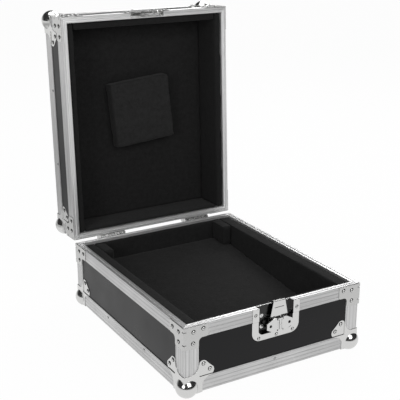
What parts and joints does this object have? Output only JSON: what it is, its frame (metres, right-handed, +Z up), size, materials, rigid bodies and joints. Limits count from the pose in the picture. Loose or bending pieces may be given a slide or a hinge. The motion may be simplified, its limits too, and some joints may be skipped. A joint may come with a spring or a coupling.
{
  "type": "dj mixer flight case",
  "caption": "Hinged flight case for a table-top mixer: plywood trays in aluminium rails, ball corners, twist latch and foam lining, standing open.",
  "frame": {"origin": "centre of the bounding box's underside, on the ground between the feet", "axes": "+X to the right seen from the latch side, across the case; +Y towards the hinges and the open lid; +Z up"},
  "size_m": [0.436, 0.6402, 0.6598],
  "materials": {
    "panel": "laminated plywood, fine grain",
    "rail": "anodised, lengthwise drawn",
    "corner_steel": "plated pressed steel",
    "latch_steel": "plated pressed steel",
    "hinge_steel": "plated steel",
    "foam": "open-cell foam",
    "foot_rubber": "matt rubber",
    "grip_rubber": "matt moulded grip"
  },
  "bodies": {
    "base": {"base_bottom_panel": "panel", "base_left_panel": "panel", "base_right_panel": "panel", "base_front_panel": "panel", "base_back_panel": "panel", "base_front_rim": "rail", "base_back_rim": "rail", "base_left_rim": "rail", "base_right_rim": "rail", "base_front_edge": "rail", "base_back_edge": "rail", "base_left_edge": "rail", "base_right_edge": "rail", "base_corner_edges": "rail", "base_ball_corners": "corner_steel", "base_corner_braces": "corner_steel", "rubber_feet": "foot_rubber", "base_floor_foam": "foam", "base_left_foam": "foam", "base_right_foam": "foam", "base_front_foam": "foam", "base_back_foam": "foam", "left_cable_block": "foam", "right_cable_block": "foam", "hinge_base_leaves": "hinge_steel", "hinge_pins": "hinge_steel", "latch_dish": "latch_steel", "latch_guides": "latch_steel", "handle_plate": "latch_steel"},
    "lid": {"lid_top_panel": "panel", "lid_left_panel": "panel", "lid_right_panel": "panel", "lid_front_panel": "panel", "lid_back_panel": "panel", "lid_front_rim": "rail", "lid_back_rim": "rail", "lid_left_rim": "rail", "lid_right_rim": "rail", "lid_front_edge": "rail", "lid_back_edge": "rail", "lid_left_edge": "rail", "lid_right_edge": "rail", "lid_corner_edges": "rail", "lid_ball_corners": "corner_steel", "lid_corner_braces": "corner_steel", "hinge_lid_leaves": "hinge_steel", "keeper_dish": "latch_steel", "lid_lining_foam": "foam", "lid_left_foam": "foam", "lid_right_foam": "foam", "lid_front_foam": "foam", "lid_back_foam": "foam", "lid_foam_block": "foam"},
    "latch_knob": {"latch_spindle": "latch_steel"},
    "left_wing": {"latch_left_wing": "latch_steel"},
    "right_wing": {"latch_right_wing": "latch_steel"},
    "latch_carriage": {"latch_slide": "latch_steel"},
    "draw_hook": {"latch_hook": "latch_steel"},
    "carrying_handle": {"handle_bail": "latch_steel", "handle_grip": "grip_rubber"}
  },
  "joints": [
    {"name": "lid_hinge", "type": "hinge", "parent": "base", "child": "lid", "pos_m": [0, 0.19088, 0.153], "axis": [1, 0, 0], "range_deg": [0, 92.5]},
    {"name": "latch_twist", "type": "hinge", "parent": "base", "child": "latch_knob", "pos_m": [0.008, -0.31012, 0.11], "axis": [0, 1, 0], "range_deg": [0, 180]},
    {"name": "left_wing_fold", "type": "hinge", "parent": "latch_knob", "child": "left_wing", "pos_m": [0.0038, -0.31252, 0.11], "axis": [0, 0, 1], "range_deg": [0, 90]},
    {"name": "right_wing_fold", "type": "hinge", "parent": "latch_knob", "child": "right_wing", "pos_m": [0.0122, -0.31252, 0.11], "axis": [0, 0, -1], "range_deg": [0, 90]},
    {"name": "carriage_lift", "type": "slide", "parent": "base", "child": "latch_carriage", "axis": [0, 0, 1], "range_m": [0, 0.008]},
    {"name": "hook_tilt", "type": "hinge", "parent": "latch_carriage", "child": "draw_hook", "pos_m": [0.008, -0.30562, 0.123], "axis": [1, 0, 0], "range_deg": [0, 10.5]},
    {"name": "handle_swing", "type": "hinge", "parent": "base", "child": "carrying_handle", "pos_m": [0.213, -0.06212, 0.106], "axis": [0, -1, 0], "range_deg": [0, 90]}
  ],
  "couplings": [
    {"joint": "carriage_lift", "follows": "latch_twist", "m_per_rad": 0.002546},
    {"joint": "hook_tilt", "follows": "latch_twist", "ratio": 0.0583}
  ]
}
